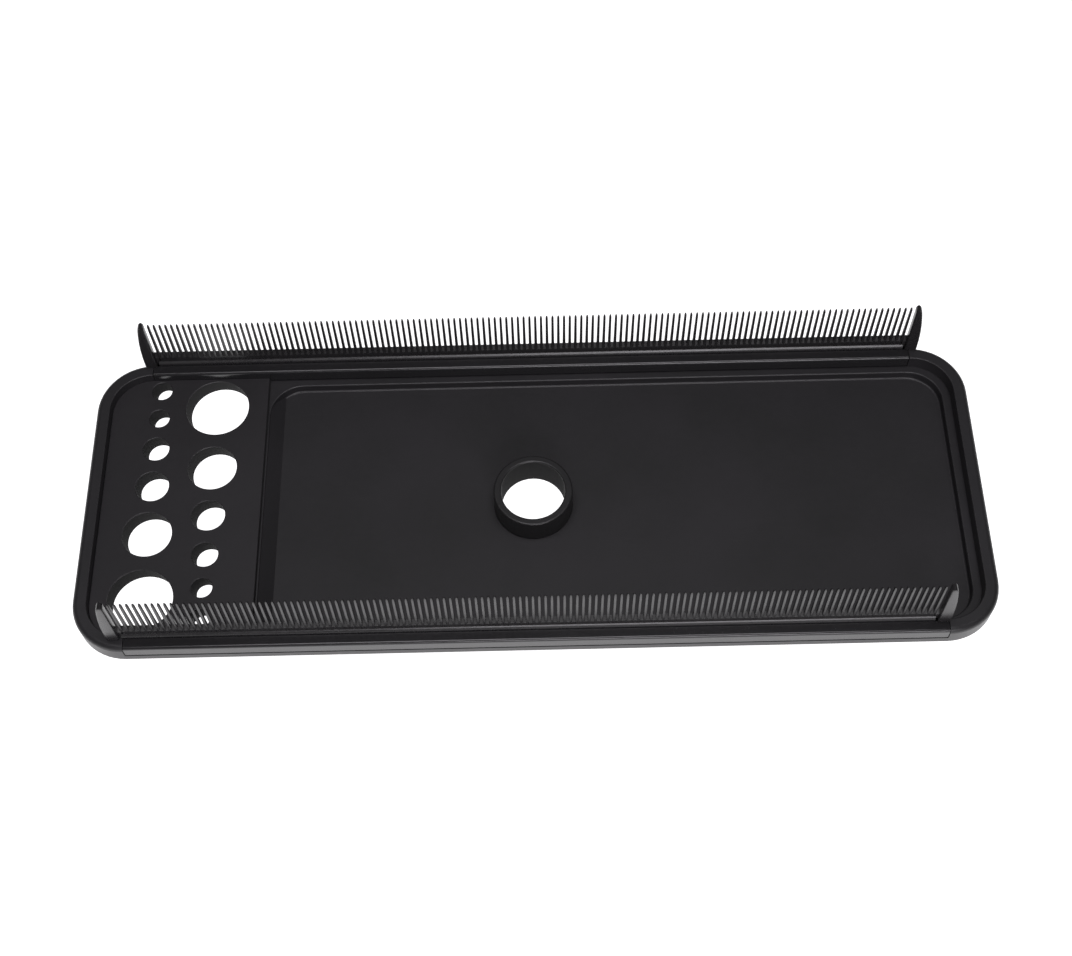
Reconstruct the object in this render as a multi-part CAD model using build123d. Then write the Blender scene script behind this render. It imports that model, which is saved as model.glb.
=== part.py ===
from build123d import *
import math
import os

# Styling tray that slides onto the pole of a salon stand, with a tool rack at one end and a comb
# strip along each long side. All sizes are in millimetres.
# The origin is the foot of the pole sleeve, on the pole's axis. +X runs along the tray away from
# the tool rack, +Y runs towards the rear comb, and +Z is up.

# Tray outline and heights
TRAY_LENGTH = 400.0
TRAY_WIDTH = 144.0
CORNER_RADIUS = 24.0
RIM_WIDTH = 6.2
RIM_TOP = 14.2
RIM_HEIGHT = 10.0
RIM_OUTER_ROUND = 2.4
RIM_INNER_ROUND = 0.4
LEDGE_DEPTH = 7.2
FLOOR_DEPTH = 11.8
SHELL_THICKNESS = 2.4
RIM_SKIN = 2.0
RIM_BOTTOM = RIM_TOP - RIM_HEIGHT
LEDGE_TOP = RIM_TOP - LEDGE_DEPTH
LEDGE_BOTTOM = LEDGE_TOP - SHELL_THICKNESS
FLOOR_TOP = RIM_TOP - FLOOR_DEPTH
FLOOR_BOTTOM = FLOOR_TOP - SHELL_THICKNESS

# Sunken floor
RECESS_LEFT = -121.0
RECESS_RIGHT = 190.0
RECESS_WIDTH = 125.0
RECESS_RADIUS = 15.0
RECESS_FLOOR_ROUND = 0.8
RECESS_EDGE_ROUND = 0.5
RECESS_LENGTH = RECESS_RIGHT - RECESS_LEFT
RECESS_X = (RECESS_RIGHT + RECESS_LEFT) / 2
SLOPE_FOOT = -115.0
SLOPE_LIP = 0.6

# Thin wall that each comb rail clips over, along the straight part of a long side
STRAIGHT_HALF = TRAY_LENGTH / 2 - CORNER_RADIUS
WALL_Y = 68.8
WALL_THICKNESS = 2.0
WALL_TOP = RIM_TOP - 1.5
SHOULDER_TOP = RIM_TOP - 6.6

# Comb rail: an upside-down channel over the thin wall, with a slot for the comb's tongue on its +Y side
RAIL_HALF = STRAIGHT_HALF - 0.3
RAIL_LEG_OUTER = -3.0
RAIL_LEG_INNER = -1.15
RAIL_PARTITION = 1.15
RAIL_SLOT_NEAR = 1.95
RAIL_SLOT_FAR = 3.75
RAIL_FAR_FACE = 5.0
RAIL_TOP_THICKNESS = 1.4
RAIL_DEPTH = 6.4
RAIL_SLOT_DEPTH = 5.4
RAIL_EDGE_ROUND = 0.3
RAIL_LEG_ROUND = 1.2

# Comb strip, with heights measured from the top of the rim
TOOTH_COUNT = 133
TOOTH_PITCH = 2.606
TOOTH_ROOT_WIDTH = 1.45
TOOTH_TIP_WIDTH = 1.15
TOOTH_POINT = 0.5
TOOTH_TIP = 31.4
TOOTH_GAP = 8.0
COMB_NEAR_FACE = 3.0
COMB_FAR_FACE = 4.6
FOOT_NEAR_FACE = 1.95
FOOT_REST = 0.1
FOOT_SHOULDER = 1.4
FOOT_CHAMFER_TOP = 2.6
TONGUE_NEAR = 2.1
TONGUE_FAR = 3.6
TONGUE_DEPTH = 5.0
TONGUE_HALF = 172.0
GUARD_NEAR_FACE = 1.3
GUARD_FAR_FACE = 4.7
GUARD_INNER_X = 173.2
GUARD_BASE_X = 179.5
GUARD_BELLY_X = 179.2
GUARD_BELLY_Z = 15.0
GUARD_TIP_OUTER_X = 176.9
GUARD_TIP_INNER_X = 174.0
GUARD_TIP_SIDE_Z = 30.6
GUARD_TIP_Z = 32.0
GUARD_ROUND = 0.5
FRONT_COMB_SHIFT = -3.3

# Tool rack: a drop-in panel over a window in the tray's deck. The holes lean outwards at their tops.
RACK_DEPTH = 4.6
RACK_TOP = RIM_TOP - RACK_DEPTH
RACK_COLLAR_DEPTH = 7.0
RACK_COLLAR_WALL = 1.4
RACK_RIGHT = -122.0
RACK_GAP = 0.15
RACK_EDGE_ROUND = 0.6
RACK_FRONT_LIMIT = -63.5
WINDOW_X = -157.5
WINDOW_Y = 2.1
WINDOW_LENGTH = 60.0
WINDOW_WIDTH = 128.6
WINDOW_RADIUS = 8.0
COLLAR_CLEARANCE = 0.75
HOLE_LEAN = 10.8
HOLE_CENTRE_Y = 1.8
HOLE_COLUMN_X = (-171.9, -145.4)
HOLE_ROWS = (58.1, 43.3, 27.1, 7.7, -16.5, -48.3)
HOLE_DIAMETERS = (9.1, 9.1, 11.7, 14.8, 21.7, 28.3)
HOLE_EDGE_ROUND = 0.35
HOOK_Y = (-30.0, 30.0)
HOOK_WIDTH = 8.0
HOOK_THICKNESS = 1.6
HOOK_GAP = 0.2
HOOK_BARB = 0.8
HOOK_BOTTOM = LEDGE_BOTTOM - 1.6

# Pole sleeve, held under the floor by four screws
BORE_RADIUS = 14.2
BORE_LEAD_RADIUS = 16.0
SLEEVE_WALL = 3.4
SLEEVE_LENGTH = 15.6
SLEEVE_TOP_ROUND = 0.8
SLEEVE_RADIUS = BORE_RADIUS + SLEEVE_WALL
SLEEVE_GAP = 0.15
FLANGE_RADIUS = 29.0
FLANGE_THICKNESS = 2.5
FLANGE_BOTTOM = FLOOR_BOTTOM - FLANGE_THICKNESS
SCREW_RING_RADIUS = 23.0
SCREW_ANGLES = (45, 135, 225, 315)
BOSS_RADIUS = 3.2
BOSS_HOLE_RADIUS = 3.35
BOSS_BOTTOM = FLANGE_BOTTOM + 0.2
SCREW_RADIUS = 1.4
PILOT_RADIUS = 1.45
SCREW_TOP = FLOOR_BOTTOM + 1.4
PILOT_TOP = SCREW_TOP + 0.1
SCREW_HEAD_RADIUS = 3.9
SCREW_HEAD_HEIGHT = 2.2
DRIVE_RADIUS = 1.5
DRIVE_DEPTH = 1.2

# Thumb screw through the lug at the front of the sleeve, below the tray
CLAMP_Z = -12.3
LUG_HALF_WIDTH = 7.5
LUG_FRONT = -29.0
LUG_BOTTOM = -19.3
LUG_ROUND = 3.0
LUG_RELIEF_RADIUS = 14.8
INSERT_RADIUS = 4.2
INSERT_LENGTH = 10.0
INSERT_BORE = 3.05
STUD_RADIUS = 3.0
STUD_SHOULDER_Y = -17.4
STUD_NECK_RADIUS = 1.75
STUD_TIP_Y = -15.9
STUD_END_Y = -44.0
STUD_CLEARANCE_RADIUS = 3.3
PAD_RADIUS = 5.0
PAD_FACE_Y = -14.6
PAD_BACK_Y = -17.1
PAD_SOCKET_RADIUS = 1.85
PAD_SOCKET_Y = -15.7
POCKET_RADIUS = 5.3
POCKET_BACK_Y = -17.8
KNOB_RADIUS = 11.0
KNOB_BACK_Y = -35.0
KNOB_END_Y = -46.0
KNOB_LOBES = 6
KNOB_SCALLOP_RADIUS = 3.2
KNOB_SCALLOP_RING = 12.4
KNOB_HUB_RADIUS = 6.0
KNOB_HUB_Y = -33.0
KNOB_ROUND = 1.2
KNOB_BORE = 3.02


def rounded_block(length, width, radius, bottom, top, x=0.0, y=0.0):
    """An upright block with rounded corners, given by its centre and its two heights."""
    return Pos(x, y, bottom) * extrude(RectangleRounded(length, width, radius), top - bottom)


def slab(x_range, y_range, z_range):
    """A plain block between the given limits."""
    size = [high - low for low, high in (x_range, y_range, z_range)]
    middle = [(high + low) / 2 for low, high in (x_range, y_range, z_range)]
    return Pos(*middle) * Box(*size)


def upright(radius, bottom, top, x=0.0, y=0.0):
    """A cylinder along Z between two heights."""
    return Pos(x, y, (bottom + top) / 2) * Cylinder(radius, top - bottom)


def crosswise(radius, start, end):
    """A cylinder along Y on the thumb screw's axis."""
    return Pos(0, (start + end) / 2, CLAMP_Z) * Rot(90, 0, 0) * Cylinder(radius, end - start)


def inset_block(inset, bottom, top):
    """The tray's outline moved inwards by inset, as a block."""
    length = TRAY_LENGTH - 2 * inset
    width = TRAY_WIDTH - 2 * inset
    return rounded_block(length, width, CORNER_RADIUS - inset, bottom, top)


def screw_places():
    """Centres of the four screws that hold the sleeve."""
    turns = [math.radians(angle) for angle in SCREW_ANGLES]
    return [(SCREW_RING_RADIUS * math.cos(t), SCREW_RING_RADIUS * math.sin(t)) for t in turns]


def tool_holes():
    """Centre and radius of each tool hole: the second column is the first one turned end for end."""
    holes = []
    for row, diameter in zip(HOLE_ROWS, HOLE_DIAMETERS):
        holes.append((HOLE_COLUMN_X[0], HOLE_CENTRE_Y + row, diameter / 2))
        holes.append((HOLE_COLUMN_X[1], HOLE_CENTRE_Y - row, diameter / 2))
    return holes


def leaning(radius, x, y):
    """A long cylinder along a tool hole's axis, which crosses the rack's top face at x, y."""
    return Pos(x, y, RACK_TOP) * Rot(0, -HOLE_LEAN, 0) * Cylinder(radius, 4 * RACK_COLLAR_DEPTH)


def make_rim():
    """The bumper rim, cored out from below at the tray's ends."""
    rim = inset_block(0, RIM_BOTTOM, RIM_TOP) - inset_block(RIM_WIDTH, RIM_BOTTOM - 1, RIM_TOP + 1)
    top_face = rim.faces().sort_by(Axis.Z)[-1]
    rim = fillet(top_face.outer_wire().edges(), RIM_OUTER_ROUND)
    top_face = rim.faces().sort_by(Axis.Z)[-1]
    rim = fillet(top_face.inner_wires()[0].edges(), RIM_INNER_ROUND)
    core = inset_block(RIM_SKIN, RIM_BOTTOM - 1, RIM_TOP - 3)
    core -= inset_block(RIM_WIDTH - RIM_SKIN, RIM_BOTTOM - 2, RIM_TOP)
    straight = STRAIGHT_HALF + RIM_SKIN
    core -= slab((-straight, straight), (-TRAY_WIDTH, TRAY_WIDTH), (0, RIM_TOP))
    return rim - core


def cut_rail_seats(tray):
    """Thins both long sides down to the wall and shoulder that a rail clips over."""
    along = (-STRAIGHT_HALF, STRAIGHT_HALF)
    wall_near = WALL_Y - WALL_THICKNESS / 2
    wall_far = WALL_Y + WALL_THICKNESS / 2
    above = RIM_TOP + 1
    for side in (1, -1):
        outer = sorted((side * wall_far, side * TRAY_WIDTH))
        inner = sorted((side * (TRAY_WIDTH / 2 - RIM_WIDTH - 1), side * wall_near))
        over = sorted((side * (wall_near - 1), side * (wall_far + 1)))
        tray -= slab(along, outer, (SHOULDER_TOP, above))
        tray -= slab(along, inner, (LEDGE_TOP, above))
        tray -= slab(along, over, (WALL_TOP, above))
    return tray


def make_tray_shell():
    deck = inset_block(RIM_WIDTH - RIM_SKIN, LEDGE_BOTTOM, LEDGE_TOP)
    basin_length = RECESS_LENGTH + 2 * SHELL_THICKNESS
    basin_width = RECESS_WIDTH + 2 * SHELL_THICKNESS
    basin_radius = RECESS_RADIUS + SHELL_THICKNESS
    basin = rounded_block(basin_length, basin_width, basin_radius, FLOOR_BOTTOM, LEDGE_TOP, RECESS_X)
    basin = fillet(basin.faces().sort_by(Axis.Z)[0].outer_wire().edges(), RECESS_FLOOR_ROUND)
    recess = rounded_block(RECESS_LENGTH, RECESS_WIDTH, RECESS_RADIUS, FLOOR_TOP, LEDGE_TOP, RECESS_X)
    recess = fillet(recess.faces().sort_by(Axis.Z)[0].outer_wire().edges(), RECESS_FLOOR_ROUND)
    pan = deck + basin - recess
    recess_mouth = pan.faces().sort_by(Axis.Z)[-1].inner_wires()[0]
    pan = fillet(recess_mouth.edges(), RECESS_EDGE_ROUND)
    slope_section = Polyline(
        (RECESS_LEFT - 0.5, FLOOR_TOP - 0.5),
        (RECESS_LEFT - 0.5, LEDGE_TOP - SLOPE_LIP),
        (RECESS_LEFT, LEDGE_TOP - SLOPE_LIP),
        (SLOPE_FOOT, FLOOR_TOP),
        (SLOPE_FOOT, FLOOR_TOP - 0.5),
        close=True,
    )
    slope_plane = Plane(origin=(0, basin_width / 2, 0), x_dir=(1, 0, 0), z_dir=(0, -1, 0))
    slope = extrude(slope_plane * make_face(slope_section), basin_width)
    slope &= rounded_block(
        RECESS_LENGTH + SHELL_THICKNESS, RECESS_WIDTH + SHELL_THICKNESS, basin_radius, FLOOR_BOTTOM, LEDGE_TOP, RECESS_X
    )
    tray = cut_rail_seats(make_rim() + pan + slope)
    tray -= rounded_block(
        WINDOW_LENGTH, WINDOW_WIDTH, WINDOW_RADIUS, LEDGE_BOTTOM - 1, LEDGE_TOP + 1, WINDOW_X, WINDOW_Y
    )
    tray -= upright(SLEEVE_RADIUS + SLEEVE_GAP, FLOOR_BOTTOM - 1, FLOOR_TOP + 1)
    for x, y in screw_places():
        tray += upright(BOSS_RADIUS, BOSS_BOTTOM, FLOOR_BOTTOM + 1, x, y)
        tray -= upright(PILOT_RADIUS, BOSS_BOTTOM - 1, PILOT_TOP, x, y)
    return tray


def make_hook(y, side):
    """A snap hook that reaches down through the deck's window and catches under its edge."""
    edge = WINDOW_LENGTH / 2
    outer_face = edge - HOOK_GAP
    leg_x = sorted((side * (outer_face - HOOK_THICKNESS), side * outer_face))
    barb_x = sorted((side * (outer_face - HOOK_THICKNESS / 2), side * (edge + HOOK_BARB)))
    width = (-HOOK_WIDTH / 2, HOOK_WIDTH / 2)
    leg = slab(leg_x, width, (HOOK_BOTTOM, LEDGE_TOP + 1))
    barb = slab(barb_x, width, (HOOK_BOTTOM, LEDGE_BOTTOM - HOOK_GAP))
    barb_tip = barb.faces().sort_by(Axis.X)[-1 if side > 0 else 0].edges().sort_by(Axis.Z)[0]
    return Pos(WINDOW_X, y, 0) * (leg + chamfer(barb_tip, HOOK_BARB * 0.9))


def make_tool_rack_insert():
    inset = RIM_WIDTH + RACK_GAP
    panel = inset_block(inset, LEDGE_TOP, RACK_TOP)
    panel &= slab((-TRAY_LENGTH, RACK_RIGHT), (-TRAY_WIDTH, TRAY_WIDTH), (0, RIM_TOP))
    rail_end = -RAIL_HALF - 0.6
    panel -= slab((rail_end, 0), (-TRAY_WIDTH, RACK_FRONT_LIMIT), (0, RIM_TOP))
    right_edge = panel.faces().sort_by(Axis.X)[-1].edges().sort_by(Axis.Z)[-1]
    panel = fillet(right_edge, RACK_EDGE_ROUND)
    collar_space = rounded_block(
        WINDOW_LENGTH - 2 * COLLAR_CLEARANCE,
        WINDOW_WIDTH - 2 * COLLAR_CLEARANCE,
        WINDOW_RADIUS,
        RACK_TOP - RACK_COLLAR_DEPTH,
        RACK_TOP - 1,
        WINDOW_X,
        WINDOW_Y,
    )
    collars = Part() + [leaning(radius + RACK_COLLAR_WALL, x, y) for x, y, radius in tool_holes()]
    panel += collars & collar_space
    for x, y, radius in tool_holes():
        panel -= leaning(radius, x, y)
    mouths = panel.faces().sort_by(Axis.Z)[-1].inner_wires()
    panel = fillet([edge for mouth in mouths for edge in mouth.edges()], HOLE_EDGE_ROUND)
    for y in HOOK_Y:
        for side in (1, -1):
            panel += make_hook(y, side)
    return panel


def make_pole_sleeve():
    tube = upright(SLEEVE_RADIUS, 0, SLEEVE_LENGTH)
    tube = fillet(tube.edges().group_by(Axis.Z)[-1], SLEEVE_TOP_ROUND)
    flange = upright(FLANGE_RADIUS, FLANGE_BOTTOM, FLOOR_BOTTOM)
    lug = slab((-LUG_HALF_WIDTH, LUG_HALF_WIDTH), (LUG_FRONT, -BORE_RADIUS / 2), (LUG_BOTTOM, FLANGE_BOTTOM + 1))
    lug = fillet(lug.edges().filter_by(Axis.Y).group_by(Axis.Z)[0], LUG_ROUND)
    sleeve = tube + flange + lug
    sleeve -= upright(BORE_RADIUS, 0, SLEEVE_LENGTH + 1)
    lead_in = Cone(BORE_LEAD_RADIUS, BORE_RADIUS, FLANGE_THICKNESS)
    sleeve -= Pos(0, 0, FLANGE_BOTTOM + FLANGE_THICKNESS / 2) * lead_in
    sleeve -= upright(LUG_RELIEF_RADIUS, LUG_BOTTOM - 1, FLANGE_BOTTOM)
    top_mouth = sleeve.edges().group_by(Axis.Z)[-1].sort_by(SortBy.RADIUS)[0]
    sleeve = fillet(top_mouth, SLEEVE_TOP_ROUND)
    for x, y in screw_places():
        sleeve -= upright(BOSS_HOLE_RADIUS, FLANGE_BOTTOM - 1, FLOOR_BOTTOM + 1, x, y)
    insert_end = LUG_FRONT + INSERT_LENGTH
    sleeve -= crosswise(INSERT_RADIUS, LUG_FRONT - 1, insert_end)
    sleeve -= crosswise(STUD_CLEARANCE_RADIUS, insert_end - 1, POCKET_BACK_Y + 1)
    sleeve -= crosswise(POCKET_RADIUS, POCKET_BACK_Y, -BORE_RADIUS / 2)
    return sleeve


def make_sleeve_screws():
    """Four pan-head screws, from below through the flange's holes into the bosses."""
    screws = []
    for x, y in screw_places():
        head_bottom = FLANGE_BOTTOM - SCREW_HEAD_HEIGHT
        head = upright(SCREW_HEAD_RADIUS, head_bottom, FLANGE_BOTTOM, x, y)
        head = fillet(head.edges().group_by(Axis.Z)[0], SCREW_HEAD_HEIGHT * 0.6)
        screw = head + upright(SCREW_RADIUS, FLANGE_BOTTOM - 1, SCREW_TOP, x, y)
        drive = [
            Pos(x, y, head_bottom + DRIVE_DEPTH / 2) * Rot(0, 0, turn) * Box(2 * DRIVE_RADIUS, 0.7, DRIVE_DEPTH)
            for turn in (0, 90)
        ]
        screws.append(screw - drive)
    return Compound(children=screws)


def make_thread_insert():
    """The brass insert in the lug, its thread drawn as a plain bore."""
    insert = crosswise(INSERT_RADIUS, LUG_FRONT, LUG_FRONT + INSERT_LENGTH)
    return insert - crosswise(INSERT_BORE, LUG_FRONT - 1, LUG_FRONT + INSERT_LENGTH + 1)


def make_clamp_screw():
    stud = crosswise(STUD_RADIUS, STUD_END_Y, STUD_SHOULDER_Y)
    return stud + crosswise(STUD_NECK_RADIUS, STUD_SHOULDER_Y - 1, STUD_TIP_Y)


def make_clamp_pad():
    pad = crosswise(PAD_RADIUS, PAD_BACK_Y, PAD_FACE_Y)
    pad = fillet(pad.edges().group_by(Axis.Y)[-1], 0.5)
    return pad - crosswise(PAD_SOCKET_RADIUS, PAD_BACK_Y - 1, PAD_SOCKET_Y)


def make_clamp_knob():
    knob = crosswise(KNOB_RADIUS, KNOB_END_Y, KNOB_BACK_Y)
    for lobe in range(KNOB_LOBES):
        turn = 2 * math.pi * (lobe + 0.5) / KNOB_LOBES
        x = KNOB_SCALLOP_RING * math.cos(turn)
        z = KNOB_SCALLOP_RING * math.sin(turn)
        knob -= Pos(x, 0, z) * crosswise(KNOB_SCALLOP_RADIUS, KNOB_END_Y - 1, KNOB_BACK_Y + 1)
    knob = fillet(knob.faces().sort_by(Axis.Y)[0].outer_wire().edges(), KNOB_ROUND)
    knob += crosswise(KNOB_HUB_RADIUS, KNOB_BACK_Y - 1, KNOB_HUB_Y)
    return knob - crosswise(KNOB_BORE, STUD_END_Y - 0.1, KNOB_HUB_Y + 1)


def make_rail(wall_y):
    """A comb rail drawn as its cross-section, in Y from the wall's middle and Z from the rim's top."""
    section = Polyline(
        (RAIL_LEG_OUTER, 0),
        (RAIL_SLOT_NEAR, 0),
        (RAIL_SLOT_NEAR, -RAIL_SLOT_DEPTH),
        (RAIL_SLOT_FAR, -RAIL_SLOT_DEPTH),
        (RAIL_SLOT_FAR, 0),
        (RAIL_FAR_FACE, 0),
        (RAIL_FAR_FACE, -RAIL_DEPTH),
        (RAIL_PARTITION, -RAIL_DEPTH),
        (RAIL_PARTITION, -RAIL_TOP_THICKNESS),
        (RAIL_LEG_INNER, -RAIL_TOP_THICKNESS),
        (RAIL_LEG_INNER, -RAIL_DEPTH),
        (RAIL_LEG_OUTER, -RAIL_DEPTH),
        close=True,
    )
    section_plane = Plane(origin=(-RAIL_HALF, wall_y, RIM_TOP), x_dir=(0, 1, 0), z_dir=(1, 0, 0))
    rail = extrude(section_plane * make_face(section), 2 * RAIL_HALF)
    top_edges = rail.edges().filter_by(Axis.X).group_by(Axis.Z)[-1].sort_by(Axis.Y)
    rail = fillet(top_edges[-1], RAIL_EDGE_ROUND)
    leg_edge = rail.edges().filter_by(Axis.X).group_by(Axis.Z)[-1].sort_by(Axis.Y)[0]
    return fillet(leg_edge, RAIL_LEG_ROUND)


def comb_outline():
    """The toothed plate seen from the front, in X from the comb's middle and Z from the rim's top."""
    reach = (GUARD_INNER_X + GUARD_BASE_X) / 2
    points = [(-reach, FOOT_REST), (-reach, TOOTH_GAP)]
    for tooth in range(TOOTH_COUNT):
        x = (tooth - (TOOTH_COUNT - 1) / 2) * TOOTH_PITCH
        points += [
            (x - TOOTH_ROOT_WIDTH / 2, TOOTH_GAP),
            (x - TOOTH_TIP_WIDTH / 2, TOOTH_TIP - TOOTH_POINT),
            (x, TOOTH_TIP),
            (x + TOOTH_TIP_WIDTH / 2, TOOTH_TIP - TOOTH_POINT),
            (x + TOOTH_ROOT_WIDTH / 2, TOOTH_GAP),
        ]
    points += [(reach, TOOTH_GAP), (reach, FOOT_REST)]
    return make_face(Polyline(*points, close=True))


def guard_outline():
    """The right end guard seen from the front: a blade that leans in towards its rounded tip."""
    base_inner = (GUARD_INNER_X, FOOT_REST)
    base_outer = (GUARD_BASE_X, FOOT_REST)
    belly = (GUARD_BELLY_X, GUARD_BELLY_Z)
    tip_outer = (GUARD_TIP_OUTER_X, GUARD_TIP_SIDE_Z)
    tip_inner = (GUARD_TIP_INNER_X, GUARD_TIP_SIDE_Z)
    tip = ((GUARD_TIP_OUTER_X + GUARD_TIP_INNER_X) / 2, GUARD_TIP_Z)
    edges = [
        Line(base_inner, base_outer),
        ThreePointArc(base_outer, belly, tip_outer),
        ThreePointArc(tip_outer, tip, tip_inner),
        Line(tip_inner, base_inner),
    ]
    return make_face(edges)


def make_comb(wall_y, shift):
    """A comb strip that stands in a rail's slot, moved along the rail by shift."""

    def upright_plane(y):
        return Plane(origin=(0, wall_y + y, RIM_TOP), x_dir=(1, 0, 0), z_dir=(0, -1, 0))

    plate = extrude(upright_plane(COMB_FAR_FACE) * comb_outline(), COMB_FAR_FACE - COMB_NEAR_FACE)
    guard = extrude(upright_plane(GUARD_FAR_FACE) * guard_outline(), GUARD_FAR_FACE - GUARD_NEAR_FACE)
    side_faces = guard.faces().sort_by(Axis.Y)
    guard = fillet(side_faces[0].edges() + side_faces[-1].edges(), GUARD_ROUND)
    foot_section = Polyline(
        (FOOT_NEAR_FACE, FOOT_REST),
        (FOOT_NEAR_FACE, FOOT_SHOULDER),
        (COMB_NEAR_FACE, FOOT_CHAMFER_TOP),
        (COMB_FAR_FACE, FOOT_CHAMFER_TOP),
        (COMB_FAR_FACE, FOOT_REST),
        close=True,
    )
    foot_half = GUARD_INNER_X + 1
    foot_plane = Plane(origin=(-foot_half, wall_y, RIM_TOP), x_dir=(0, 1, 0), z_dir=(1, 0, 0))
    foot = extrude(foot_plane * make_face(foot_section), 2 * foot_half)
    tongue_y = (wall_y + TONGUE_NEAR, wall_y + TONGUE_FAR)
    tongue = slab((-TONGUE_HALF, TONGUE_HALF), tongue_y, (RIM_TOP - TONGUE_DEPTH, RIM_TOP + FOOT_SHOULDER))
    comb = plate + foot + guard + mirror(guard, Plane.YZ) + tongue
    return Pos(shift, 0, 0) * comb


os.makedirs("parts", exist_ok=True)
nodes = {
    "tray_shell": make_tray_shell(),
    "tool_rack_insert": make_tool_rack_insert(),
    "pole_sleeve": make_pole_sleeve(),
    "sleeve_screws": make_sleeve_screws(),
    "thread_insert": make_thread_insert(),
    "clamp_screw": make_clamp_screw(),
    "clamp_pad": make_clamp_pad(),
    "clamp_knob": make_clamp_knob(),
    "front_rail": make_rail(-WALL_Y),
    "rear_rail": make_rail(WALL_Y),
    "front_comb": make_comb(-WALL_Y, FRONT_COMB_SHIFT),
    "rear_comb": make_comb(WALL_Y, 0),
}
for name, shape in nodes.items():
    export_step(shape, f"parts/{name}.step")
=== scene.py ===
import math

import bmesh
import bpy
from mathutils import Matrix, Vector


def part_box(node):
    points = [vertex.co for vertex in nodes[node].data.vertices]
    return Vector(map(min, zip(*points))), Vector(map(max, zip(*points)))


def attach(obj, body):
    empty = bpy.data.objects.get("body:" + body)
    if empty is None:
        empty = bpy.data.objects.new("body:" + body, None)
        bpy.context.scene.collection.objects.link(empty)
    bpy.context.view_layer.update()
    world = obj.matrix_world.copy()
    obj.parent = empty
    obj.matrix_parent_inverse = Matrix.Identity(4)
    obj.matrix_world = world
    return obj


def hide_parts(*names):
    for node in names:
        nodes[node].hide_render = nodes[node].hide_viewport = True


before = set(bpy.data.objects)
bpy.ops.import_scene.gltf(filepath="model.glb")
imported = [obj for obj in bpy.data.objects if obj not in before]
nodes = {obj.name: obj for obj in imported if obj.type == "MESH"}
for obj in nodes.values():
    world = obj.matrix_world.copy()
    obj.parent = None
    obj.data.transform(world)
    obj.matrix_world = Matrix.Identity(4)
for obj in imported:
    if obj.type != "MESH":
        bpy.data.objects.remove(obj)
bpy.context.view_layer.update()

MM = 0.001
# Near-black colour painted on the walls of the tool holes and the pole's bore as shade
HOLE_WALL_PAINTED_SHADE = (0.006, 0.006, 0.006)
HOLE_WALL_ROUGHNESS = 0.97


# ---------------------------------------------------------------- materials

def new_material(name):
    material = bpy.data.materials.new(name)
    material.use_nodes = True
    tree = material.node_tree
    shader = tree.nodes["Principled BSDF"]
    return material, tree, shader


def add(tree, kind, **values):
    """Adds a node and sets its properties and unlinked inputs by name."""
    node = tree.nodes.new(kind)
    for key, value in values.items():
        if hasattr(node, key):
            setattr(node, key, value)
        else:
            node.inputs[key.replace("_", " ")].default_value = value
    return node


def object_mm(tree):
    """The object's own coordinates, in millimetres."""
    place = add(tree, "ShaderNodeTexCoord")
    scale = add(tree, "ShaderNodeMapping")
    scale.inputs["Scale"].default_value = (1000, 1000, 1000)
    tree.links.new(place.outputs["Object"], scale.inputs["Vector"])
    return scale.outputs["Vector"]


def stretched(tree, vector, factors, turn=(0, 0, 0)):
    mapping = add(tree, "ShaderNodeMapping")
    mapping.inputs["Scale"].default_value = factors
    mapping.inputs["Rotation"].default_value = turn
    tree.links.new(vector, mapping.inputs["Vector"])
    return mapping.outputs["Vector"]


def noise(tree, vector, scale, detail=2.0, roughness=0.5):
    node = add(tree, "ShaderNodeTexNoise")
    node.inputs["Scale"].default_value = scale
    node.inputs["Detail"].default_value = detail
    node.inputs["Roughness"].default_value = roughness
    tree.links.new(vector, node.inputs["Vector"])
    return node.outputs["Fac"]


def remap(tree, value, low, high, to_low, to_high):
    node = add(tree, "ShaderNodeMapRange")
    node.inputs["From Min"].default_value = low
    node.inputs["From Max"].default_value = high
    node.inputs["To Min"].default_value = to_low
    node.inputs["To Max"].default_value = to_high
    tree.links.new(value, node.inputs["Value"])
    return node.outputs["Result"]


def math_node(tree, operation, first, second):
    node = add(tree, "ShaderNodeMath", operation=operation)
    for socket, value in zip(node.inputs, (first, second)):
        if isinstance(value, (int, float)):
            socket.default_value = value
        else:
            tree.links.new(value, socket)
    return node.outputs[0]


def mix_color(tree, factor, first, second):
    node = add(tree, "ShaderNodeMix", data_type="RGBA")
    for socket, value in ((node.inputs[0], factor), (node.inputs[6], first), (node.inputs[7], second)):
        if hasattr(value, "links"):
            tree.links.new(value, socket)
        elif isinstance(value, (int, float)):
            socket.default_value = value
        else:
            socket.default_value = (*value, 1)
    return node.outputs[2]


def bump(tree, height, distance, strength=1.0, normal=None):
    node = add(tree, "ShaderNodeBump")
    node.inputs["Strength"].default_value = strength
    node.inputs["Distance"].default_value = distance
    tree.links.new(height, node.inputs["Height"])
    if normal is not None:
        tree.links.new(normal, node.inputs["Normal"])
    return node.outputs["Normal"]


def scratches(tree, vector, seed_turn, density):
    """Hairline marks: thin ridges of noise stretched along one direction."""
    lines = noise(tree, stretched(tree, vector, (0.012, 1.6, 1.6), (0, 0, seed_turn)), 1.0, 1.0)
    ridge = math_node(tree, "ABSOLUTE", math_node(tree, "SUBTRACT", lines, 0.5), 0)
    line = remap(tree, ridge, 0.0, 0.006, 1.0, 0.0)
    patches = noise(tree, vector, 0.03, 2.0)
    where = remap(tree, patches, 0.52, 0.52 + density, 0.0, 1.0)
    return math_node(tree, "MULTIPLY", line, where)


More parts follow.
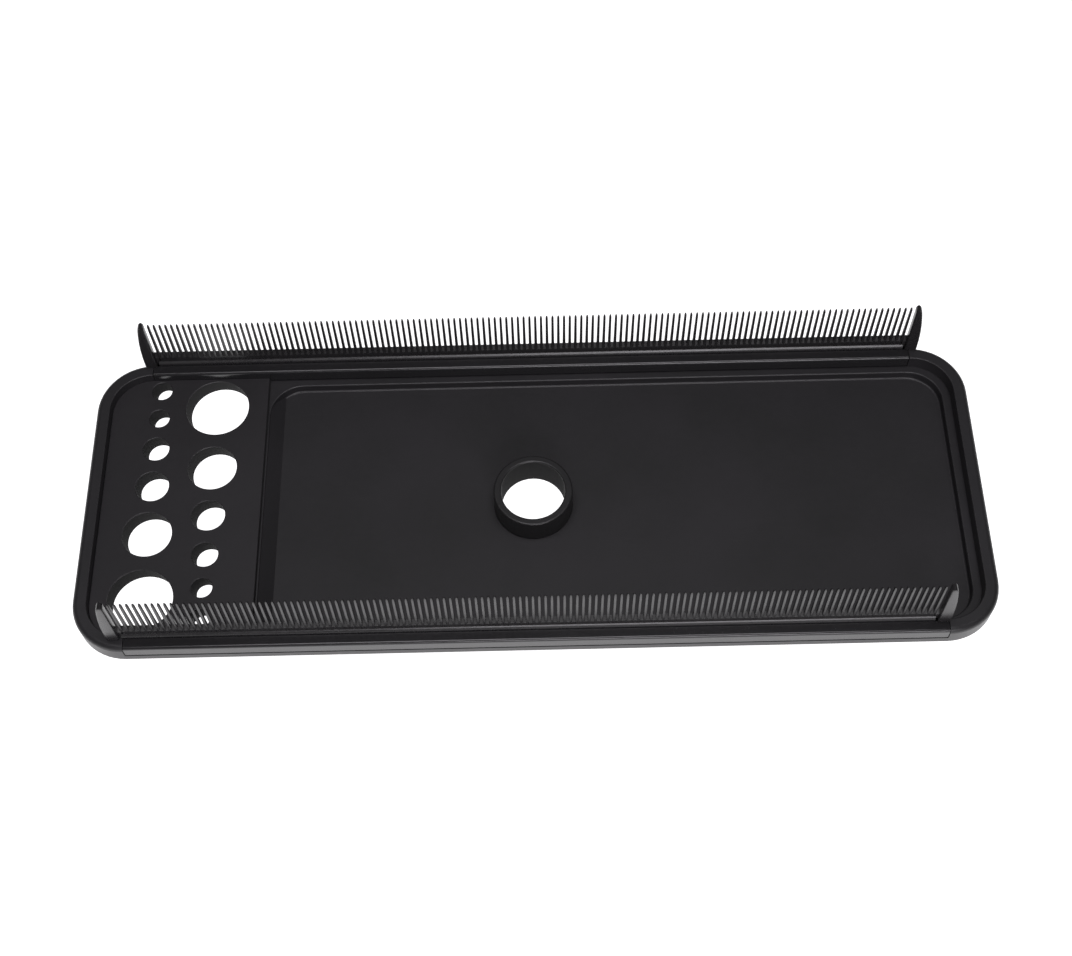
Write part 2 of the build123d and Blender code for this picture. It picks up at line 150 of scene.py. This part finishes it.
def zone_mask(tree, vector, radius, lowest, highest):
    """1 within a radius of the Z axis and between two heights, all in millimetres, and 0 elsewhere."""
    split = add(tree, "ShaderNodeSeparateXYZ")
    tree.links.new(vector, split.inputs[0])
    x, y, z = split.outputs
    squares = math_node(tree, "ADD", math_node(tree, "POWER", x, 2.0), math_node(tree, "POWER", y, 2.0))
    near_axis = math_node(tree, "LESS_THAN", squares, radius * radius)
    above = math_node(tree, "GREATER_THAN", z, lowest)
    below = math_node(tree, "LESS_THAN", z, highest)
    return math_node(tree, "MULTIPLY", near_axis, math_node(tree, "MULTIPLY", above, below))


def moulded_plastic(
    name, color, tint, roughness, grain_size, grain_depth, waviness, specular=0.5, painted_shade_zone=None
):
    """Black moulded plastic: fine grain, slow waviness, faint marks, and painted shade on the hole walls in
    painted_shade_zone, which are coloured near-black and made fully rough.

    Grain size, grain depth and waviness are in millimetres.
    """
    material, tree, shader = new_material(name)
    vector = object_mm(tree)
    slow = noise(tree, vector, 0.018, 3.0)
    middling = noise(tree, vector, 0.35, 3.0)
    grain = noise(tree, vector, 1.0 / grain_size, 3.0, 0.6)
    marks = math_node(
        tree, "MAXIMUM", scratches(tree, vector, 0.35, 0.2), scratches(tree, vector, -1.1, 0.25)
    )

    blend = remap(tree, slow, 0.3, 0.7, 0.0, 1.0)
    base = mix_color(tree, blend, color, tint)
    paler = tuple(min(1.0, c * 2.2 + 0.01) for c in color)
    base = mix_color(tree, math_node(tree, "MULTIPLY", marks, 0.35), base, paler)
    if painted_shade_zone:
        zone = zone_mask(tree, vector, *painted_shade_zone)
        # Painted shade: the hole and bore walls are coloured near-black to stand in for the shade inside them
        base = mix_color(tree, zone, base, HOLE_WALL_PAINTED_SHADE)
    tree.links.new(base, shader.inputs["Base Color"])

    rough = remap(tree, slow, 0.3, 0.7, roughness - 0.035, roughness + 0.035)
    rough = math_node(tree, "ADD", rough, remap(tree, middling, 0.3, 0.7, -0.02, 0.02))
    rough = math_node(tree, "ADD", rough, remap(tree, grain, 0.3, 0.7, -0.03, 0.03))
    rough = math_node(tree, "ADD", rough, math_node(tree, "MULTIPLY", marks, 0.06))
    if painted_shade_zone:
        rough = math_node(tree, "MAXIMUM", rough, math_node(tree, "MULTIPLY", zone, HOLE_WALL_ROUGHNESS))
    tree.links.new(rough, shader.inputs["Roughness"])
    shader.inputs["Specular IOR Level"].default_value = specular
    shader.inputs["IOR"].default_value = 1.5

    normal = bump(tree, slow, waviness * MM, 1.0)
    normal = bump(tree, grain, grain_depth * MM, 1.0, normal)
    tree.links.new(normal, shader.inputs["Normal"])
    return material


# Zones where shade is painted near-black on the walls of the tool holes and of the pole's bore: radius from the Z
# axis, lowest and highest height
TRAY_REACH = 250.0
TOOL_HOLE_PAINTED_SHADE = (TRAY_REACH, -10.0, 9.3)
POLE_BORE_PAINTED_SHADE = (14.4, -2.6, 14.9)

shell_plastic = moulded_plastic(
    "shell_black", (0.0175, 0.0172, 0.0180), (0.0200, 0.0186, 0.0212), 0.42, 0.28, 0.010, 0.02
)
rack_plastic = moulded_plastic(
    "rack_black", (0.0185, 0.0172, 0.0190), (0.0200, 0.0184, 0.0210), 0.44, 0.28, 0.010, 0.02,
    painted_shade_zone=TOOL_HOLE_PAINTED_SHADE,
)
sleeve_plastic = moulded_plastic(
    "sleeve_black", (0.0175, 0.0172, 0.0178), (0.0190, 0.0184, 0.0190), 0.36, 0.34, 0.006, 0.01,
    painted_shade_zone=POLE_BORE_PAINTED_SHADE,
)
rail_plastic = moulded_plastic(
    "rail_black", (0.0160, 0.0155, 0.0165), (0.0175, 0.0168, 0.0182), 0.22, 0.5, 0.002, 0.015
)
comb_plastic = moulded_plastic(
    "comb_black", (0.0170, 0.0162, 0.0172), (0.0190, 0.0180, 0.0192), 0.28, 0.5, 0.003, 0.01
)
knob_plastic = moulded_plastic(
    "knob_black", (0.0180, 0.0178, 0.0182), (0.0195, 0.0190, 0.0198), 0.5, 0.3, 0.02, 0.0
)


def metal(name, color, roughness, groove, axis_factors):
    """Turned or plated metal: fine lathe lines and slight tarnish."""
    material, tree, shader = new_material(name)
    vector = object_mm(tree)
    lines = noise(tree, stretched(tree, vector, axis_factors), 1.0, 2.0)
    clouds = noise(tree, vector, 0.4, 3.0)
    dull = tuple(c * 0.72 for c in color)
    tree.links.new(
        mix_color(tree, remap(tree, clouds, 0.4, 0.75, 0.0, 0.6), color, dull), shader.inputs["Base Color"]
    )
    rough = remap(tree, lines, 0.3, 0.7, roughness - 0.07, roughness + 0.09)
    tree.links.new(rough, shader.inputs["Roughness"])
    shader.inputs["Metallic"].default_value = 1.0
    tree.links.new(bump(tree, lines, groove * MM, 1.0), shader.inputs["Normal"])
    return material


zinc = metal("zinc_steel", (0.66, 0.66, 0.67), 0.3, 0.004, (0.6, 7.0, 0.6))
brass = metal("turned_brass", (0.78, 0.58, 0.26), 0.26, 0.004, (0.6, 8.0, 0.6))


def nylon_material():
    material, tree, shader = new_material("natural_nylon")
    vector = object_mm(tree)
    grain = noise(tree, vector, 1.6, 3.0)
    shader.inputs["Subsurface Weight"].default_value = 0.25
    shader.inputs["Subsurface Radius"].default_value = (0.002, 0.0015, 0.001)
    base = mix_color(tree, remap(tree, grain, 0.3, 0.7, 0.0, 1.0), (0.70, 0.68, 0.62), (0.60, 0.57, 0.50))
    tree.links.new(base, shader.inputs["Base Color"])
    tree.links.new(remap(tree, grain, 0.3, 0.7, 0.42, 0.55), shader.inputs["Roughness"])
    tree.links.new(bump(tree, grain, 0.01 * MM), shader.inputs["Normal"])
    return material


nylon = nylon_material()

finishes = {
    "tray_shell": shell_plastic,
    "tool_rack_insert": rack_plastic,
    "pole_sleeve": sleeve_plastic,
    "sleeve_screws": zinc,
    "thread_insert": brass,
    "clamp_screw": zinc,
    "clamp_pad": nylon,
    "clamp_knob": knob_plastic,
    "front_rail": rail_plastic,
    "rear_rail": rail_plastic,
}
for name, material in finishes.items():
    for slot in nodes[name].material_slots:
        slot.material = material


# ---------------------------------------------------------------- comb strips

# Millimetres: X from the comb's middle, Y from the rail wall's middle, Z from the top of the rim
TOOTH_COUNT = 133
TOOTH_PITCH = 2.606
TONGUE_DEPTH = 5.0
GUARD_NEAR = 1.3
PLATE_BOTTOM = 1.5
FOOT_HALF_LENGTH = 173.0
PLATE_NEAR = 3.0
PLATE_FAR = 4.6
GAP_Z = 8.0
RAMP_DROP = 2.6
ROOT_HALF = 0.70
TIP_HALF = 0.52
TIP_Z = 31.4
GUARD_FAR = 4.7
GUARD_INNER = 174.0
GUARD_OUTER = 179.5
GUARD_CORNER = 0.5
GUARD_LEAN = 3.0
GUARD_TOP_Z = 32.0
GUARD_ROUND_Z = 30.6


def tooth_ring(height):
    """Half width, near face and far face of a tooth at a height above its root, from 0 to 1."""
    half = ROOT_HALF + (TIP_HALF - ROOT_HALF) * height
    near = PLATE_NEAR + 0.15 * height
    far = PLATE_FAR - 0.35 * height
    return half, near, far


def tooth_middle(tooth):
    return (tooth - (TOOTH_COUNT - 1) / 2) * TOOTH_PITCH


def comb_teeth(mesh, vertex):
    """The teeth and the gap floors between them; returns the ring of points round each tooth's root."""
    # Points round a tooth's cross-section, front to back: share of the half width, share of the depth
    sides = [(0.55, 0.0), (0.86, 0.07), (1.0, 0.24), (1.0, 0.76), (0.86, 0.93), (0.55, 1.0)]
    heights = [0.0, 0.2, 0.5, 0.8, 0.94]
    teeth = []
    for i in range(TOOTH_COUNT):
        x = tooth_middle(i)
        rings = []
        for h in heights:
            half, near, far = tooth_ring(h)
            ring = []
            for side in (-1, 1):
                for share, depth in (sides if side < 0 else reversed(sides)):
                    y = near + (far - near) * depth
                    z = GAP_Z + (TIP_Z - GAP_Z) * h
                    if h == 0.0:
                        z -= RAMP_DROP * (1 - depth)
                    ring.append(vertex(x + side * half * share, y, z))
            rings.append(ring)
        half, near, far = tooth_ring(1.0)
        cap = []
        for side in (-1, 1):
            for share, depth in (sides if side < 0 else reversed(sides)):
                y = near + (far - near) * (0.5 + (depth - 0.5) * 0.62)
                z = TIP_Z - 0.35 + 0.35 * (1 - abs(depth - 0.5) * 1.2)
                cap.append(vertex(x + side * half * share * 0.5, y, z))
        rings.append(cap)
        for lower, upper in zip(rings, rings[1:]):
            for j in range(len(lower)):
                k = (j + 1) % len(lower)
                mesh.faces.new((lower[j], lower[k], upper[k], upper[j]))
        mesh.faces.new(cap)
        teeth.append(rings[0])

    # Gap floors: from one tooth's right side to the next tooth's left side
    for left, right in zip(teeth, teeth[1:]):
        left_side = left[6:][::-1]
        right_side = right[:6]
        for j in range(5):
            mesh.faces.new((left_side[j], right_side[j], right_side[j + 1], left_side[j + 1]))
    return teeth


def plate_below_teeth(mesh, vertex, teeth):
    """Front, back, underside and ends of the plate that the teeth stand on."""
    front_low, back_low = [], []
    for i in range(TOOTH_COUNT):
        x = tooth_middle(i)
        half = ROOT_HALF * 0.55
        front_low.append((vertex(x - half, PLATE_NEAR, PLATE_BOTTOM), vertex(x + half, PLATE_NEAR, PLATE_BOTTOM)))
        back_low.append((vertex(x - half, PLATE_FAR, PLATE_BOTTOM), vertex(x + half, PLATE_FAR, PLATE_BOTTOM)))
    for i, ring in enumerate(teeth):
        front_left, front_right = ring[0], ring[11]
        back_left, back_right = ring[5], ring[6]
        mesh.faces.new((front_left, front_right, front_low[i][1], front_low[i][0]))
        mesh.faces.new((back_right, back_left, back_low[i][0], back_low[i][1]))
        mesh.faces.new((front_low[i][0], front_low[i][1], back_low[i][1], back_low[i][0]))
    for i, following in enumerate(teeth[1:]):
        front_right, back_right = teeth[i][11], teeth[i][6]
        mesh.faces.new((front_right, following[0], front_low[i + 1][0], front_low[i][1]))
        mesh.faces.new((following[5], back_right, back_low[i][1], back_low[i + 1][0]))
        mesh.faces.new((front_low[i][1], front_low[i + 1][0], back_low[i + 1][0], back_low[i][1]))
    mesh.faces.new(teeth[0][0:6][::-1] + [front_low[0][0], back_low[0][0]])
    mesh.faces.new(teeth[-1][6:12][::-1] + [back_low[-1][1], front_low[-1][1]])


def bar(mesh, vertex, section, start, end):
    """A closed bar along X with the given cross-section in Y and Z."""
    rings = [[vertex(x, y, z) for y, z in section] for x in (start, end)]
    for j in range(len(section)):
        k = (j + 1) % len(section)
        mesh.faces.new((rings[0][j], rings[0][k], rings[1][k], rings[1][j]))
    for ring in rings:
        mesh.faces.new(ring)


def closed_comb(name):
    """A comb strip with rounded, tapered teeth, drawn in the place of its CAD solid."""
    low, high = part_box(name)
    middle_x = (low.x + high.x) / 2 / MM
    wall_y = low.y / MM - GUARD_NEAR
    rim_top = low.z / MM + TONGUE_DEPTH
    mesh = bmesh.new()

    def vertex(x, y, z):
        return mesh.verts.new(((middle_x + x) * MM, (wall_y + y) * MM, (rim_top + z) * MM))

    plate_below_teeth(mesh, vertex, comb_teeth(mesh, vertex))

    # The plate's short ends, from the last teeth to the guards
    last_tooth = tooth_middle(TOOTH_COUNT - 1)
    plate_end = [
        (PLATE_NEAR, PLATE_BOTTOM), (PLATE_FAR, PLATE_BOTTOM), (PLATE_FAR, GAP_Z),
        (PLATE_FAR - 0.12, GAP_Z), (PLATE_NEAR + 0.12, GAP_Z - RAMP_DROP * 0.9), (PLATE_NEAR, GAP_Z - RAMP_DROP),
    ]
    for side in (-1, 1):
        bar(mesh, vertex, plate_end, side * last_tooth, side * (GUARD_INNER + 0.6))

    # Foot bar with its chamfer, and the tongue below it
    foot = [
        (2.05, 0.12), (1.97, 0.2), (1.97, 1.22), (2.03, 1.38), (2.92, 2.5), (3.05, 2.58),
        (3.4, 2.6), (4.5, 2.6), (4.58, 2.5), (4.58, 0.2), (4.5, 0.12), (3.6, 0.1),
        (3.6, -4.8), (3.4, -5.0), (2.3, -5.0), (2.1, -4.8), (2.1, 0.12),
    ]
    bar(mesh, vertex, foot, -FOOT_HALF_LENGTH, FOOT_HALF_LENGTH)

    for side in (-1, 1):
        guard_rings(mesh, vertex, side)

    bmesh.ops.recalc_face_normals(mesh, faces=mesh.faces)
    data = bpy.data.meshes.new(name + "_strip")
    mesh.to_mesh(data)
    mesh.free()
    data.shade_smooth()
    piece = bpy.data.objects.new(name + "_strip", data)
    bpy.context.scene.collection.objects.link(piece)
    data.materials.append(comb_plastic)
    return piece


def guard_rings(mesh, vertex, side):
    """An end guard: a blade of rounded rectangles that leans in towards a rounded tip."""
    levels = [0.12, 0.3, 3.0, 8.0, 14.0, 20.0, 26.0, 29.5, 31.0, 31.7, 31.95]
    near, far = GUARD_NEAR + 0.02, GUARD_FAR - 0.02
    rings = []
    for z in levels:
        outer = GUARD_OUTER - GUARD_LEAN * (z / 31.0) ** 2.2
        inner = GUARD_INNER
        if z > GUARD_ROUND_Z:
            drop = (z - GUARD_ROUND_Z) / (GUARD_TOP_Z - GUARD_ROUND_Z)
            squeeze = 1 - math.sqrt(1 - drop * drop)
            centre = (outer + inner) / 2
            outer = outer + (centre - outer) * squeeze * 0.92
            inner = inner + (centre - inner) * squeeze * 0.92
        if z < 0.2:
            outer -= 0.2
        radius = min(GUARD_CORNER, (outer - inner) * 0.45)
        points = []
        for cx, cy, start in (
            (inner + radius, near + radius, 180), (outer - radius, near + radius, 270),
            (outer - radius, far - radius, 0), (inner + radius, far - radius, 90),
        ):
            for step in range(4):
                turn = math.radians(start + step * 30)
                points.append((cx + radius * math.cos(turn), cy + radius * math.sin(turn)))
        rings.append([vertex(side * x, y, z) for x, y in points])
    for lower, upper in zip(rings, rings[1:]):
        for j in range(len(lower)):
            k = (j + 1) % len(lower)
            mesh.faces.new((lower[j], lower[k], upper[k], upper[j]))
    mesh.faces.new(rings[0][::-1])
    mesh.faces.new(rings[-1])


for name in ("front_comb", "rear_comb"):
    strip = closed_comb(name)
    edge_split = strip.modifiers.new("crisp_edges", "EDGE_SPLIT")
    edge_split.split_angle = math.radians(38)
    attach(strip, name + "_body")
    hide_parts(name)


# ---------------------------------------------------------------- floor, light, camera

def plane_object(name, size, z):
    mesh = bmesh.new()
    bmesh.ops.create_grid(mesh, x_segments=8, y_segments=8, size=size / 2)
    data = bpy.data.meshes.new(name)
    mesh.to_mesh(data)
    mesh.free()
    plane = bpy.data.objects.new(name, data)
    plane.location = (0, 0, z)
    bpy.context.scene.collection.objects.link(plane)
    return plane


FLOOR_Z = -0.22
floor = plane_object("studio_floor", 14.0, FLOOR_Z)
floor_material, floor_tree, floor_shader = new_material("pale_floor")
floor_shader.inputs["Base Color"].default_value = (0.86, 0.86, 0.86, 1)
floor_shader.inputs["Roughness"].default_value = 0.9
floor_shader.inputs["Specular IOR Level"].default_value = 0.0
floor_shader.inputs["Emission Color"].default_value = (1, 1, 1, 1)
floor_shader.inputs["Emission Strength"].default_value = 0.92
floor.data.materials.append(floor_material)

world = bpy.data.worlds.new("studio")
bpy.context.scene.world = world
world.use_nodes = True
sky = world.node_tree
background = sky.nodes["Background"]
direction = add(sky, "ShaderNodeTexCoord")
split = add(sky, "ShaderNodeSeparateXYZ")
sky.links.new(direction.outputs["Generated"], split.inputs[0])
height = add(sky, "ShaderNodeMapRange", interpolation_type="SMOOTHSTEP")
height.inputs["From Min"].default_value = 0.1
height.inputs["From Max"].default_value = 0.8
height.inputs["To Min"].default_value = 0.16
height.inputs["To Max"].default_value = 0.10
sky.links.new(split.outputs["Z"], height.inputs["Value"])
sky.links.new(height.outputs["Result"], background.inputs["Strength"])
background.inputs["Color"].default_value = (1, 1, 1, 1)


def softbox(name, place, target, width, height, power):
    light = bpy.data.lights.new(name, "AREA")
    light.shape = "RECTANGLE"
    light.size = width
    light.size_y = height
    light.energy = power
    light.color = (1.0, 0.97, 1.02)
    lamp = bpy.data.objects.new(name, light)
    bpy.context.scene.collection.objects.link(lamp)
    lamp.location = place
    aim = Vector(target) - Vector(place)
    lamp.rotation_euler = aim.to_track_quat("-Z", "Y").to_euler()
    return lamp


softbox("overhead_softbox", (0.0, -0.1, 1.5), (0, 0, 0), 0.9, 0.6, 8.6)
softbox("front_softbox", (0.25, -1.5, 0.8), (0, 0, 0), 0.8, 0.6, 12.0)

TARGET = Vector((1.4, 8.0, 12.0)) * MM
DISTANCE = 729.2 * MM
AZIMUTH = math.radians(0.55)
ELEVATION = math.radians(61.24)
ROLL = math.radians(-1.77)
back = Vector((
    math.sin(AZIMUTH) * math.cos(ELEVATION),
    -math.cos(AZIMUTH) * math.cos(ELEVATION),
    math.sin(ELEVATION),
))
right = (-back).cross(Vector((0, 0, 1))).normalized()
up = right.cross(-back)
camera_x = right * math.cos(ROLL) + up * math.sin(ROLL)
camera_y = -right * math.sin(ROLL) + up * math.cos(ROLL)
camera_data = bpy.data.cameras.new("camera")
camera_data.lens = 54.57
camera_data.sensor_width = 36.0
camera = bpy.data.objects.new("camera", camera_data)
bpy.context.scene.collection.objects.link(camera)
pose = Matrix((camera_x, camera_y, back)).transposed().to_4x4()
pose.translation = TARGET + back * DISTANCE
camera.matrix_world = pose
bpy.context.scene.camera = camera
bpy.context.scene.view_settings.view_transform = "Standard"
